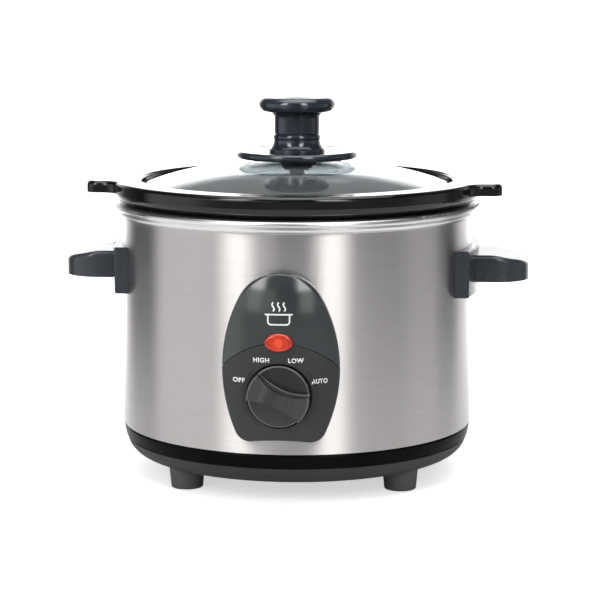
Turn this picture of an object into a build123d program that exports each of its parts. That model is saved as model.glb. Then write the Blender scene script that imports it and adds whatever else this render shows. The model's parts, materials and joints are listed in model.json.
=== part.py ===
from build123d import *
import os
from math import cos, radians, sin, sqrt, tan

os.makedirs("parts", exist_ok=True)

# A small round slow cooker. Every piece is built about the pot's own axis, with the front
# at -Y and the table at FOOT_BOTTOM, and is moved into the row frame when it is written.
# All sizes are mm.

# Outer shell, base and feet
SHELL_R = 97.5
SHELL_WALL = 0.8
SHELL_IN = SHELL_R - SHELL_WALL
SHELL_BOTTOM = 27.0
SHELL_TOP = 143.0
BASE_R = 97.3
BASE_BOTTOM = 10.2
BASE_GROOVE_Z = 19.1
BAND_Z = 19.7
BOWL_R = 88.5
BASE_WALL = 2.5
BASE_FLOOR = BASE_BOTTOM + BASE_WALL
SPIGOT_TOP = 31.0
FOOT_X = 58.0
FOOT_Y = 52.0
FOOT_TURN = 3.0
FOOT_BOTTOM = -1.5
FOOT_R_BOTTOM = 8.6
FOOT_R_TOP = 9.7
FOOT_SCREW_R = 1.9
FOOT_SCREW_SEAT = 5.0
BOSS_H = 6.0

# Heating liner with its rolled rim
LINER_IN = 86.2
SHEET = 0.8
LINER_OUT = LINER_IN + SHEET
LINER_FLOOR = 44.0
RING_TOP = 150.0
RING_R = 102.8

# Heater, clamps and insulation around the liner
HEATER_R = 88.4
HEATER_Z = (78.0, 118.0)
CLAMP_R = 88.9
CLAMP_H = 8.0
CLAMP_Z = (86.0, 102.0)
BLANKET_R = (89.0, 92.4)
BLANKET_Z = (80.0, 121.0)

# Crock
CROCK_R = 102.3
CROCK_OUT_TOP = 84.5
CROCK_OUT_LOW = 79.5
CROCK_SEAT = RING_TOP + 0.3
CROCK_TOP = 162.5
CROCK_BOTTOM = 46.3
CROCK_FLOOR = 53.5
LUG_X = 115.3
LUG_HALF = 30.0
LUG_T = 6.3
LEDGE_Z = 157.0
RECESS_R = 86.5
MOUTH_R = 77.5

# Lid
LID_R = 84.0
LID_BOTTOM = LEDGE_Z + 0.25
DOME_R = 300.0
DOME_TOP = 172.5
GLASS_T = 4.0
LID_HOLE_R = 3.6
FLANGE_R = 33.8
FLANGE_TOP = 177.4
KNOB_TOP = 208.7
KNOB_R = 21.4
STEM_R = 12.7

# Side handles
PAD_HALF = 40.0
PAD_Z = (101.9, 127.4)
PAD_X_END = 96.4
PAD_X_MID = 101.5
GRIP_HALF = 22.5
GRIP_X = 129.0
GRIP_Z = (108.2, 122.75)
GRIP_WALL = 2.5
HANDLE_SCREW_Y = 12.0
HANDLE_SCREW_Z = 115.0

# Control panel
PANEL_TOP = 123.5
PANEL_BOTTOM = 34.6
PANEL_HOLLOW = 1.3
PANEL_HALF = 30.8
PANEL_WIDE_Z = 72.5
PANEL_TOP_R = 24.0
PANEL_LOW_R = 80.0
PANEL_CORNER_R = 8.0
PANEL_WALL = 2.5
PANEL_DOME_AXIS = 58.0
SEAM_CENTRE_Z = 46.8
SEAM_R = 40.5
SEAM_GAP = 0.35
DIAL_Z = 59.9
DIAL_R = 16.3
DIAL_POCKET_R = 17.1
POCKET_FLOOR = 102.0
DIAL_BACK = 102.8
DIAL_DECK = 107.6
DIAL_FRONT = 118.0
DIAL_OFF_ANGLE = 67.5
HUB_R = 5.5
BAR_END = 7.25
BAR_WAIST = 3.7
BAR_END_TOP = 8.6
FLAT_START = 106.0
FLAT_LENGTH = 6.0
SWITCH_BACK = 90.5
SWITCH_FRONT = 99.5
SHAFT_R = 3.0
LENS_Z = 88.0
LENS_HALF = (7.5, 4.85)
LAMP_Y = 97.0
PANEL_SCREWS = ((0.0, 113.0), (21.0, 88.0), (-21.0, 88.0), (20.5, 49.5), (-20.5, 49.5))

# Centre stud, underside shield and cord gland
STUD_R = 2.5
NUT_FLATS = 8.0
NUT_H = 3.5
WELL_R = 11.0
WELL_TOP = 16.0
SHIELD_Z = 33.0
SHIELD_R = 78.0
GLAND_Z = 38.0
GLAND_BORE = 3.3
WIRE_R = 0.9

# The row's origin is under the middle of the whole box, so the pot axis sits behind it.
AXIS_Y = (DIAL_FRONT - RING_R) / 2


def save(piece, label):
    """Label a piece built about the pot axis, move it into the row frame and write it."""
    piece.part.label = label
    export_step(Pos(0, AXIS_Y, -FOOT_BOTTOM) * piece.part, f"parts/{label}.step")


def ring_profile(inner, outer, low, high):
    """Rectangle in the radius-height plane, for a revolved ring."""
    with Locations(((inner + outer) / 2, (low + high) / 2)):
        Rectangle(outer - inner, high - low)


def shell_x(y, radius):
    """Distance from the YZ plane to a round wall of the given radius at y."""
    return sqrt(radius**2 - y**2)


# ---------------------------------------------------------------- feet and base

# The base sits turned by a few degrees against the panel, and its feet with it.
foot_corners = {
    "foot_front_left": (-FOOT_X, -FOOT_Y),
    "foot_front_right": (FOOT_X, -FOOT_Y),
    "foot_rear_left": (-FOOT_X, FOOT_Y),
    "foot_rear_right": (FOOT_X, FOOT_Y),
}
FOOT_H = BASE_BOTTOM - FOOT_BOTTOM
foot_points = []
for foot_name, corner in foot_corners.items():
    foot_x, foot_y, _ = Vector(*corner).rotate(Axis.Z, FOOT_TURN)
    foot_points.append((foot_x, foot_y))
    with BuildPart() as foot:
        with BuildSketch(Plane.XY.offset(FOOT_BOTTOM)):
            with Locations((foot_x, foot_y)):
                Circle(FOOT_R_BOTTOM)
        with BuildSketch(Plane.XY.offset(BASE_BOTTOM)):
            with Locations((foot_x, foot_y)):
                Circle(FOOT_R_TOP)
        loft()
        fillet(foot.edges().sort_by(Axis.Z)[0], 0.8)
        with Locations(Location((foot_x, foot_y, FOOT_BOTTOM), (180, 0, 0))):
            CounterBoreHole(FOOT_SCREW_R + 0.1, 4.2, FOOT_SCREW_SEAT - FOOT_BOTTOM, depth=FOOT_H)
    save(foot, foot_name)

with BuildPart() as foot_screws:
    for foot_x, foot_y in foot_points:
        with Locations((foot_x, foot_y, FOOT_SCREW_SEAT)):
            Cylinder(FOOT_SCREW_R, 12.5, align=(Align.CENTER, Align.CENTER, Align.MIN))
            Cylinder(3.7, 2.2, align=(Align.CENTER, Align.CENTER, Align.MAX))
        with Locations((foot_x, foot_y, FOOT_SCREW_SEAT - 2.2)):
            Box(4.6, 1.0, 1.4, mode=Mode.SUBTRACT)
            Box(1.0, 4.6, 1.4, mode=Mode.SUBTRACT)
save(foot_screws, "foot_screws")

with BuildPart() as base:
    with BuildSketch(Plane.XZ):
        with BuildLine():
            # Bowl, shadow groove, then the band, which swells up to the shell
            Line((0, BASE_BOTTOM), (BOWL_R, BASE_BOTTOM))
            ThreePointArc((BOWL_R, BASE_BOTTOM), (94.2, 15.0), (95.6, 18.6))
            Polyline((95.6, 18.6), (94.9, BASE_GROOVE_Z), (96.2, BAND_Z))
            ThreePointArc((96.2, BAND_Z), (96.9, 22.5), (BASE_R, 25.6))
            # Up to the seam with the shell, over the spigot inside it, and back down the wall
            Polyline(
                (BASE_R, 25.6),
                (BASE_R - 0.3, SHELL_BOTTOM - 0.3),
                (SHELL_IN - 0.1, SHELL_BOTTOM - 0.3),
                (SHELL_IN - 0.1, SPIGOT_TOP),
                (SHELL_IN - BASE_WALL, SPIGOT_TOP),
                (SHELL_IN - BASE_WALL, 22.5),
                (91.0, 15.4),
                (87.0, BASE_FLOOR),
                (0, BASE_FLOOR),
                (0, BASE_BOTTOM),
            )
        make_face()
    revolve(axis=Axis.Z)
    with BuildSketch(Plane.XY.offset(BASE_FLOOR)):
        with Locations(*foot_points):
            Circle(5.0)
    extrude(amount=BOSS_H)
    with Locations(*[(x, y, BASE_BOTTOM) for x, y in foot_points]):
        Cylinder(FOOT_SCREW_R, 9.0, align=(Align.CENTER, Align.CENTER, Align.MIN), mode=Mode.SUBTRACT)
    with BuildSketch(Plane.XY.offset(BASE_BOTTOM)):
        Circle(WELL_R + BASE_WALL)
    extrude(amount=WELL_TOP + BASE_WALL - BASE_BOTTOM)
    with BuildSketch(Plane.XY.offset(BASE_BOTTOM)):
        Circle(WELL_R)
    extrude(amount=WELL_TOP - BASE_BOTTOM, mode=Mode.SUBTRACT)
    with Locations((0, 0, WELL_TOP)):
        Cylinder(STUD_R + 0.2, 20, mode=Mode.SUBTRACT)
    with BuildSketch(Plane.XY.offset(BASE_BOTTOM)):
        with PolarLocations(42, 8, start_angle=22.5):
            SlotOverall(20, 3.2, rotation=90)
    extrude(amount=BASE_WALL, mode=Mode.SUBTRACT)
    with BuildSketch(Plane.XY.offset(BASE_FLOOR)):
        with PolarLocations(84, 8, start_angle=-12):
            Rectangle(12, 2.0)
    extrude(amount=14.0)
save(base, "base")

# ---------------------------------------------------------------- shell and liner

with BuildPart() as outer_shell:
    with BuildSketch(Plane.XZ):
        ring_profile(SHELL_IN, SHELL_R, SHELL_BOTTOM, SHELL_TOP)
    revolve(axis=Axis.Z)
    # Window behind the panel, for the switch and the lamp
    with BuildSketch(Plane.XZ.offset(SHELL_R - 10)):
        with Locations((0, 70)):
            RectangleRounded(28, 50, 3)
    extrude(amount=20, mode=Mode.SUBTRACT)
    with BuildSketch(Plane.XZ.offset(SHELL_R - 10)):
        with Locations(*PANEL_SCREWS):
            Circle(1.6)
    extrude(amount=20, mode=Mode.SUBTRACT)
    # Handle screw holes, two each side
    with BuildSketch(Plane.YZ.offset(-SHELL_R - 5)):
        with Locations((HANDLE_SCREW_Y, HANDLE_SCREW_Z), (-HANDLE_SCREW_Y, HANDLE_SCREW_Z)):
            Circle(2.0)
    extrude(amount=2 * SHELL_R + 10, mode=Mode.SUBTRACT)
    # Cord gland hole at the back
    with BuildSketch(Plane.XZ.offset(-SHELL_R + 10)):
        with Locations((0, GLAND_Z)):
            Circle(5.6)
    extrude(amount=-20, mode=Mode.SUBTRACT)
save(outer_shell, "outer_shell")

with BuildPart() as heating_liner:
    with BuildSketch(Plane.XZ):
        with BuildLine():
            # Inside: floor, corner, wall, flared lip
            Line((0, LINER_FLOOR + SHEET), (78.2, LINER_FLOOR + SHEET))
            JernArc((78.2, LINER_FLOOR + SHEET), (1, 0), 8.0, 90)
            Line((LINER_IN, LINER_FLOOR + SHEET + 8.0), (LINER_IN, RING_TOP - 1.5))
            JernArc((LINER_IN, RING_TOP - 1.5), (0, 1), 1.5, -90)
            # Rolled rim in two beads, the upper one larger
            Line((LINER_IN + 1.5, RING_TOP), (RING_R - 1.8, RING_TOP))
            JernArc((RING_R - 1.8, RING_TOP), (1, 0), 1.8, -90)
            ThreePointArc((RING_R, RING_TOP - 1.8), (RING_R - 0.5, RING_TOP - 3.0), (100.9, 146.5))
            ThreePointArc((100.9, 146.5), (100.6, 144.6), (98.4, SHELL_TOP + 0.2))
            # Back under the shell's top edge, then down the outside of the wall
            Polyline(
                (98.4, SHELL_TOP + 0.2),
                (98.2, SHELL_TOP),
                (SHELL_IN - 0.8, SHELL_TOP),
                (SHELL_IN - 0.8, RING_TOP - SHEET),
                (LINER_OUT + 0.7, RING_TOP - SHEET),
                (LINER_OUT, RING_TOP - SHEET - 0.7),
                (LINER_OUT, LINER_FLOOR + 8.8),
            )
            JernArc((LINER_OUT, LINER_FLOOR + 8.8), (0, -1), 8.8, -90)
            Line((78.2, LINER_FLOOR), (0, LINER_FLOOR))
            Line((0, LINER_FLOOR), (0, LINER_FLOOR + SHEET))
        make_face()
    revolve(axis=Axis.Z)
save(heating_liner, "heating_liner")

with BuildPart() as heater_band:
    with BuildSketch(Plane.XZ):
        ring_profile(LINER_OUT, HEATER_R, *HEATER_Z)
    revolve(axis=Axis.Z)
    with Locations((0, HEATER_R, sum(HEATER_Z) / 2)):
        Box(8, 20, 60, mode=Mode.SUBTRACT)
save(heater_band, "heater_band")

# Two steel straps pull the heater band onto the liner, each closed by a screw at the back.
EAR_X = 5.0
EAR_Y = (88.0, 92.3)
CLAMP_SCREW_Y = 90.8
for clamp_name, clamp_z in zip(("heater_clamp_lower", "heater_clamp_upper"), CLAMP_Z):
    with BuildPart() as clamp:
        with BuildSketch(Plane.XZ):
            ring_profile(HEATER_R, CLAMP_R, clamp_z, clamp_z + CLAMP_H)
        revolve(axis=Axis.Z)
        with Locations((0, CLAMP_R, clamp_z + CLAMP_H / 2)):
            Box(2 * EAR_X, 8, 2 * CLAMP_H, mode=Mode.SUBTRACT)
        for side in (-1, 1):
            with Locations((side * (EAR_X + 0.3), EAR_Y[0], clamp_z)):
                Box(0.6, EAR_Y[1] - EAR_Y[0], CLAMP_H, align=(Align.CENTER, Align.MIN, Align.MIN))
        with Locations(Location((0, CLAMP_SCREW_Y, clamp_z + CLAMP_H / 2), (0, 90, 0))):
            Cylinder(1.3, 30, mode=Mode.SUBTRACT)
        with BuildSketch(Plane.XY.offset(clamp_z)):
            Circle(HEATER_R)
        extrude(amount=CLAMP_H, mode=Mode.SUBTRACT)
    save(clamp, clamp_name)

with BuildPart() as clamp_screws:
    for clamp_z in CLAMP_Z:
        with Locations(Location((0, CLAMP_SCREW_Y, clamp_z + CLAMP_H / 2), (0, 90, 0))):
            Cylinder(1.25, 17.0)
        with Locations(Location((EAR_X + 0.6, CLAMP_SCREW_Y, clamp_z + CLAMP_H / 2), (0, 90, 0))):
            Cylinder(1.8, 1.8, align=(Align.CENTER, Align.CENTER, Align.MIN))
        with BuildSketch(Plane.YZ.offset(-EAR_X - 0.6)):
            with Locations((CLAMP_SCREW_Y, clamp_z + CLAMP_H / 2)):
                RegularPolygon(1.8, 6)
        extrude(amount=-2.0)
save(clamp_screws, "clamp_screws")

with BuildPart() as insulation_blanket:
    with BuildSketch(Plane.XZ):
        ring_profile(*BLANKET_R, *BLANKET_Z)
    revolve(axis=Axis.Z)
    with Locations((0, BLANKET_R[1], sum(BLANKET_Z) / 2)):
        Box(26, 20, 60, mode=Mode.SUBTRACT)
save(insulation_blanket, "insulation_blanket")

# ---------------------------------------------------------------- centre stud and shield

with BuildPart() as centre_stud:
    with Locations((0, 0, WELL_TOP - 5.6)):
        Cylinder(STUD_R, LINER_FLOOR - WELL_TOP + 5.6, align=(Align.CENTER, Align.CENTER, Align.MIN))
    with Locations((0, 0, LINER_FLOOR)):
        Cylinder(6.0, 1.2, align=(Align.CENTER, Align.CENTER, Align.MAX))
save(centre_stud, "centre_stud")

with BuildPart() as shield_plate:
    with BuildSketch(Plane.XY.offset(SHIELD_Z)):
        Circle(SHIELD_R)
        Circle(STUD_R + 0.1, mode=Mode.SUBTRACT)
        with PolarLocations(60, 6):
            Circle(3.0, mode=Mode.SUBTRACT)
    extrude(amount=0.6)
    with BuildSketch(Plane.XY.offset(SHIELD_Z)):
        Circle(SHIELD_R)
        Circle(SHIELD_R - 0.6, mode=Mode.SUBTRACT)
    extrude(amount=5.0)
save(shield_plate, "shield_plate")


def hex_section(inner_r, across_flats):
    """Section of a hexagon nut, with its thread as a plain bore."""
    RegularPolygon(across_flats / 2, 6, major_radius=False)
    Circle(inner_r, mode=Mode.SUBTRACT)


with BuildPart() as shield_nuts:
    for nut_z in (SHIELD_Z - NUT_H, SHIELD_Z + 0.6):
        with BuildSketch(Plane.XY.offset(nut_z)):
            hex_section(STUD_R, NUT_FLATS)
        extrude(amount=NUT_H)
save(shield_nuts, "shield_nuts")

with BuildPart() as base_washer:
    with BuildSketch(Plane.XY.offset(WELL_TOP - 1.0)):
        Circle(8.5)
        Circle(STUD_R + 0.1, mode=Mode.SUBTRACT)
    extrude(amount=1.0)
save(base_washer, "base_washer")

with BuildPart() as base_nut:
    with BuildSketch(Plane.XY.offset(WELL_TOP - 1.0 - NUT_H)):
        hex_section(STUD_R, NUT_FLATS)
    extrude(amount=NUT_H)
save(base_nut, "base_nut")

# ---------------------------------------------------------------- crock

with BuildPart() as crock:
    with BuildSketch(Plane.XZ):
        with BuildLine():
            Line((0, CROCK_BOTTOM), (70, CROCK_BOTTOM))
            Spline(
                (70, CROCK_BOTTOM),
                (76.9, 50.0),
                (CROCK_OUT_LOW, 58.0),
                tangents=((1, 0), (0.03, 1)),
            )
            Polyline(
                (CROCK_OUT_LOW, 58.0),
                (CROCK_OUT_TOP, 140.0),
                (CROCK_OUT_TOP, CROCK_SEAT),
                (96.5, CROCK_SEAT),
                (99.2, CROCK_SEAT + 1.4),
            )
            Spline(
                (99.2, CROCK_SEAT + 1.4),
                (101.6, CROCK_SEAT + 4.2),
                (CROCK_R, CROCK_SEAT + 8.0),
                tangents=((1, 0.5), (0, 1)),
            )
            Polyline(
                (CROCK_R, CROCK_SEAT + 8.0),
                (CROCK_R, CROCK_TOP),
                (0, CROCK_TOP),
                (0, CROCK_BOTTOM),
            )
        make_face()
    revolve(axis=Axis.Z)
    # Two carrying lugs, level with the rim's top
    with BuildSketch(Plane.XY.offset(CROCK_TOP - LUG_T)) as rim_plan:
        Circle(CROCK_R)
        with BuildLine():
            ThreePointArc((LUG_X - 2.3, -LUG_HALF), (LUG_X, 0), (LUG_X - 2.3, LUG_HALF))
            Line((LUG_X - 2.3, LUG_HALF), (2.3 - LUG_X, LUG_HALF))
            ThreePointArc((2.3 - LUG_X, LUG_HALF), (-LUG_X, 0), (2.3 - LUG_X, -LUG_HALF))
            Line((2.3 - LUG_X, -LUG_HALF), (LUG_X - 2.3, -LUG_HALF))
        make_face()
        fillet([v for v in rim_plan.vertices() if 90 < abs(v.X) < CROCK_R], 9.5)
        fillet([v for v in rim_plan.vertices() if abs(v.X) > LUG_X - 3], 6.5)
    extrude(amount=LUG_T)
    fillet(crock.faces().sort_by(Axis.Z)[-1].outer_wire().edges(), 2.4)
    # Lid recess, mouth and inside
    with BuildSketch(Plane.XZ):
        with BuildLine():
            Line((0, CROCK_FLOOR), (52, CROCK_FLOOR))
            Spline(
                (52, CROCK_FLOOR),
                (66.5, 59.5),
                (72.0, 74.0),
                tangents=((1, 0), (0.06, 1)),
            )
            Polyline(
                (72.0, 74.0),
                (MOUTH_R - 1.0, LEDGE_Z - 4.0),
                (MOUTH_R, LEDGE_Z - 1.2),
                (MOUTH_R + 1.2, LEDGE_Z),
                (RECESS_R - 1.2, LEDGE_Z),
                (RECESS_R - 0.6, LEDGE_Z + 0.7),
                (RECESS_R, CROCK_TOP - 1.2),
                (RECESS_R + 1.4, CROCK_TOP),
                (RECESS_R + 1.4, CROCK_TOP + 5),
                (0, CROCK_TOP + 5),
                (0, CROCK_FLOOR),
            )
        make_face()
    revolve(axis=Axis.Z, mode=Mode.SUBTRACT)
save(crock, "crock")

# ---------------------------------------------------------------- lid

GLASS_EDGE_TOP = DOME_TOP - DOME_R + sqrt(DOME_R**2 - LID_R**2)
INNER_DOME_R = DOME_R - GLASS_T

with BuildPart() as lid_glass:
    with BuildSketch(Plane.XZ):
        with BuildLine():
            ThreePointArc(
                (LID_HOLE_R, DOME_TOP - DOME_R + sqrt(DOME_R**2 - LID_HOLE_R**2)),
                (LID_R / 2, DOME_TOP - DOME_R + sqrt(DOME_R**2 - (LID_R / 2) ** 2)),
                (LID_R - 1.0, GLASS_EDGE_TOP),
            )
            ThreePointArc(
                (LID_R - 1.0, GLASS_EDGE_TOP),
                (LID_R, (GLASS_EDGE_TOP + LID_BOTTOM) / 2),
                (LID_R - 1.2, LID_BOTTOM),
            )
            Line((LID_R - 1.2, LID_BOTTOM), (LID_R - 4.2, LID_BOTTOM))
            ThreePointArc(
                (LID_R - 4.2, LID_BOTTOM),
                (LID_R / 2, DOME_TOP - DOME_R + sqrt(INNER_DOME_R**2 - (LID_R / 2) ** 2)),
                (LID_HOLE_R, DOME_TOP - DOME_R + sqrt(INNER_DOME_R**2 - LID_HOLE_R**2)),
            )
            Line(
                (LID_HOLE_R, DOME_TOP - DOME_R + sqrt(INNER_DOME_R**2 - LID_HOLE_R**2)),
                (LID_HOLE_R, DOME_TOP - DOME_R + sqrt(DOME_R**2 - LID_HOLE_R**2)),
            )
        make_face()
    revolve(axis=Axis.Z)
save(lid_glass, "lid_glass")

with BuildPart() as lid_flange:
    with BuildSketch(Plane.XZ):
        with BuildLine():
            Polyline(
                (LID_HOLE_R, DOME_TOP + 0.4),
                (LID_HOLE_R, FLANGE_TOP - 0.6),
                (STEM_R + 4, FLANGE_TOP - 0.6),
                (FLANGE_R - 3.0, FLANGE_TOP),
            )
            ThreePointArc(
                (FLANGE_R - 3.0, FLANGE_TOP),
                (FLANGE_R, FLANGE_TOP - 1.8),
                (FLANGE_R - 3.0, FLANGE_TOP - 3.5),
            )
            Polyline(
                (FLANGE_R - 3.0, FLANGE_TOP - 3.5),
                (FLANGE_R - 6.0, FLANGE_TOP - 3.2),
                (STEM_R - 3, DOME_TOP + 0.4),
                (LID_HOLE_R, DOME_TOP + 0.4),
            )
        make_face()
    revolve(axis=Axis.Z)
save(lid_flange, "lid_flange")

# The cap has a full round edge under a shallow sphere centred on the pot axis.
CAP_LOW = 199.2
CAP_EDGE_R = 4.0
cap_edge_x = KNOB_R - CAP_EDGE_R
cap_edge_top = CAP_LOW + 2 * CAP_EDGE_R
cap_sag = KNOB_TOP - cap_edge_top
cap_r = (cap_edge_x**2 + cap_sag**2) / (2 * cap_sag)
cap_mid_z = KNOB_TOP - cap_r + sqrt(cap_r**2 - 9.0**2)
knob_foot = FLANGE_TOP - 0.6

with BuildPart() as lid_knob:
    with BuildSketch(Plane.XZ):
        with BuildLine():
            Polyline((0, KNOB_TOP), (0, knob_foot), (STEM_R + 2.9, knob_foot), (STEM_R + 2.9, 178.4))
            # Lower flare, bead and groove
            ThreePointArc((STEM_R + 2.9, 178.4), (STEM_R + 0.9, 180.8), (STEM_R + 0.2, 183.8))
            ThreePointArc((STEM_R + 0.2, 183.8), (STEM_R + 0.5, 185.2), (STEM_R, 186.6))
            Polyline((STEM_R, 186.6), (STEM_R - 0.5, 187.0), (STEM_R, 187.4), (STEM_R, 195.4))
            # Upper flare under the cap
            ThreePointArc((STEM_R, 195.4), (STEM_R + 0.3, 197.0), (STEM_R + 1.3, 198.2))
            Polyline((STEM_R + 1.3, 198.2), (STEM_R + 0.8, CAP_LOW), (cap_edge_x, CAP_LOW))
            ThreePointArc(
                (cap_edge_x, CAP_LOW),
                (KNOB_R, CAP_LOW + CAP_EDGE_R),
                (cap_edge_x, cap_edge_top),
            )
            ThreePointArc((cap_edge_x, cap_edge_top), (9.0, cap_mid_z), (0, KNOB_TOP))
        make_face()
    revolve(axis=Axis.Z)
    with Locations((0, 0, knob_foot)):
        Cylinder(2.0, 14, align=(Align.CENTER, Align.CENTER, Align.MIN), mode=Mode.SUBTRACT)
save(lid_knob, "lid_knob")

GLASS_UNDER = DOME_TOP - GLASS_T

with BuildPart() as lid_seal:
    with BuildSketch(Plane.XZ):
        ring_profile(2.6, 8.5, GLASS_UNDER - 1.9, GLASS_UNDER - 0.4)
        ring_profile(2.6, LID_HOLE_R - 0.1, GLASS_UNDER - 0.4, DOME_TOP + 0.2)
    revolve(axis=Axis.Z)
    fillet(lid_seal.edges().sort_by(Axis.Z)[0:2].sort_by(SortBy.LENGTH)[-1], 0.4)
save(lid_seal, "lid_seal")

with BuildPart() as lid_washer:
    with BuildSketch(Plane.XZ):
        ring_profile(2.2, 7.0, GLASS_UNDER - 2.9, GLASS_UNDER - 1.9)
    revolve(axis=Axis.Z)
save(lid_washer, "lid_washer")

with BuildPart() as lid_screw:
    with Locations((0, 0, GLASS_UNDER - 2.9)):
        Cylinder(2.0, 18.5, align=(Align.CENTER, Align.CENTER, Align.MIN))
        Cylinder(4.2, 2.6, align=(Align.CENTER, Align.CENTER, Align.MAX))
    fillet(lid_screw.edges().sort_by(Axis.Z)[0], 1.2)
    with Locations((0, 0, GLASS_UNDER - 5.5)):
        Box(5.0, 1.1, 2.6, mode=Mode.SUBTRACT)
        Box(1.1, 5.0, 2.6, mode=Mode.SUBTRACT)
save(lid_screw, "lid_screw")

# ---------------------------------------------------------------- side handles


def grip_blank(inset):
    """Rounded tab that slopes down to its tip, shrunk by inset at the sides, tip and top."""
    tip = GRIP_X - inset
    top = GRIP_Z[1] - inset
    with BuildPart() as blank:
        with BuildSketch(Plane.XY.offset(GRIP_Z[0])) as plan:
            with Locations(((90 + tip) / 2, 0)):
                Rectangle(tip - 90, 2 * (GRIP_HALF - inset))
            fillet(plan.vertices().group_by(Axis.X)[-1], 19.0 - inset)
        extrude(amount=GRIP_Z[1] - GRIP_Z[0])
        with BuildSketch(Plane.XZ):
            with BuildLine():
                Polyline((90, GRIP_Z[0]), (90, top), (107.5, top))
                Spline((107.5, top), (118.5, top - 1.9), (tip, top - 6.2), tangents=((1, 0), (0.75, -1)))
                Polyline((tip, top - 6.2), (tip, GRIP_Z[0]), (90, GRIP_Z[0]))
            make_face()
        extrude(amount=GRIP_HALF + 1, both=True, mode=Mode.INTERSECT)
    return blank.part


def pocket_cut():
    """Hollow of the grip from below, leaving its root and walls."""
    with BuildPart() as cut:
        add(grip_blank(GRIP_WALL))
        with Locations((PAD_X_MID + 3, 0, GRIP_Z[0] - 1)):
            Box(60, 80, 40, align=(Align.MAX, Align.CENTER, Align.MIN), mode=Mode.SUBTRACT)
        for y in (-HANDLE_SCREW_Y, HANDLE_SCREW_Y):
            with Locations(Location((0, y, HANDLE_SCREW_Z), (0, 90, 0))):
                Cylinder(4.2, 111.0, align=(Align.CENTER, Align.CENTER, Align.MIN), mode=Mode.SUBTRACT)
    return cut.part


with BuildPart() as handle_pad:
    with BuildSketch(Plane.XY.offset(PAD_Z[0])):
        with BuildLine():
            ThreePointArc((PAD_X_END, -PAD_HALF), (PAD_X_MID, 0), (PAD_X_END, PAD_HALF))
            Polyline((PAD_X_END, PAD_HALF), (80, PAD_HALF), (80, -PAD_HALF), (PAD_X_END, -PAD_HALF))
        make_face()
    extrude(amount=PAD_Z[1] - PAD_Z[0])
    fillet(handle_pad.faces().sort_by(Axis.X)[-1].edges(), 0.9)

with BuildPart() as handle_right:
    add(grip_blank(0))
    upper = handle_right.faces().sort_by(Axis.Z)[-2:]
    fillet([e for e in upper[0].edges() + upper[1].edges() if abs(e.center().Y) > 5], 2.6)
    add(handle_pad.part)
    add(pocket_cut(), mode=Mode.SUBTRACT)
    for y in (-HANDLE_SCREW_Y, HANDLE_SCREW_Y):
        with Locations(Location((0, y, HANDLE_SCREW_Z), (0, 90, 0))):
            Cylinder(1.7, 108.0, align=(Align.CENTER, Align.CENTER, Align.MIN), mode=Mode.SUBTRACT)
    with Locations((0, 0, (PAD_Z[0] + PAD_Z[1]) / 2)):
        Cylinder(SHELL_R, 60, mode=Mode.SUBTRACT)
save(handle_right, "handle_right")

with BuildPart() as handle_left:
    mirror(handle_right.part, about=Plane.YZ)
save(handle_left, "handle_left")

HANDLE_HEAD_X = shell_x(HANDLE_SCREW_Y + 3.2, SHELL_IN)

with BuildPart() as handle_screws:
    for side in (-1, 1):
        for y in (-HANDLE_SCREW_Y, HANDLE_SCREW_Y):
            with Locations(Location((side * HANDLE_HEAD_X, y, HANDLE_SCREW_Z), (0, side * 90, 0))):
                Cylinder(1.7, 11.0, align=(Align.CENTER, Align.CENTER, Align.MIN))
                Cylinder(3.2, 1.9, align=(Align.CENTER, Align.CENTER, Align.MAX))
save(handle_screws, "handle_screws")

# ---------------------------------------------------------------- control panel


def toward(start, end, distance):
    """Point at a distance from start, in the direction of end."""
    return start + (end - start).normalized() * distance


def panel_outline():
    """Egg-shaped outline of tangent arcs, with a slightly hollow lower edge."""
    wide_dz = PANEL_TOP - PANEL_TOP_R - PANEL_WIDE_Z
    side_r = (PANEL_HALF**2 + wide_dz**2 - PANEL_TOP_R**2) / (2 * (PANEL_HALF - PANEL_TOP_R))
    top_centre = Vector(0, PANEL_TOP - PANEL_TOP_R)
    side_centre = Vector(PANEL_HALF - side_r, PANEL_WIDE_Z)
    low_centre = Vector(PANEL_HALF - PANEL_LOW_R, PANEL_WIDE_Z)
    corner_dz = PANEL_WIDE_Z - PANEL_BOTTOM - PANEL_CORNER_R
    corner_x = low_centre.X + sqrt((PANEL_LOW_R - PANEL_CORNER_R) ** 2 - corner_dz**2)
    corner_centre = Vector(corner_x, PANEL_BOTTOM + PANEL_CORNER_R)
    rise = PANEL_CORNER_R - PANEL_HOLLOW
    hollow_r = (corner_x**2 + rise**2 - PANEL_CORNER_R**2) / (2 * PANEL_HOLLOW)
    hollow_centre = Vector(0, PANEL_BOTTOM + PANEL_HOLLOW - hollow_r)
    top_join = toward(side_centre, top_centre, side_r)
    widest = Vector(PANEL_HALF, PANEL_WIDE_Z)
    corner_join = toward(low_centre, corner_centre, PANEL_LOW_R)
    hollow_join = toward(corner_centre, hollow_centre, PANEL_CORNER_R)
    TangentArc((0, PANEL_TOP), top_join, tangent=(1, 0))
    TangentArc(widest, top_join, tangent=(0, 1))
    TangentArc(widest, corner_join, tangent=(0, -1))
    TangentArc((0, PANEL_BOTTOM + PANEL_HOLLOW), hollow_join, tangent=(1, 0))
    ThreePointArc(
        hollow_join,
        corner_centre + Vector(0.35, -1).normalized() * PANEL_CORNER_R,
        corner_join,
    )
    mirror(about=Plane.YZ)


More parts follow.
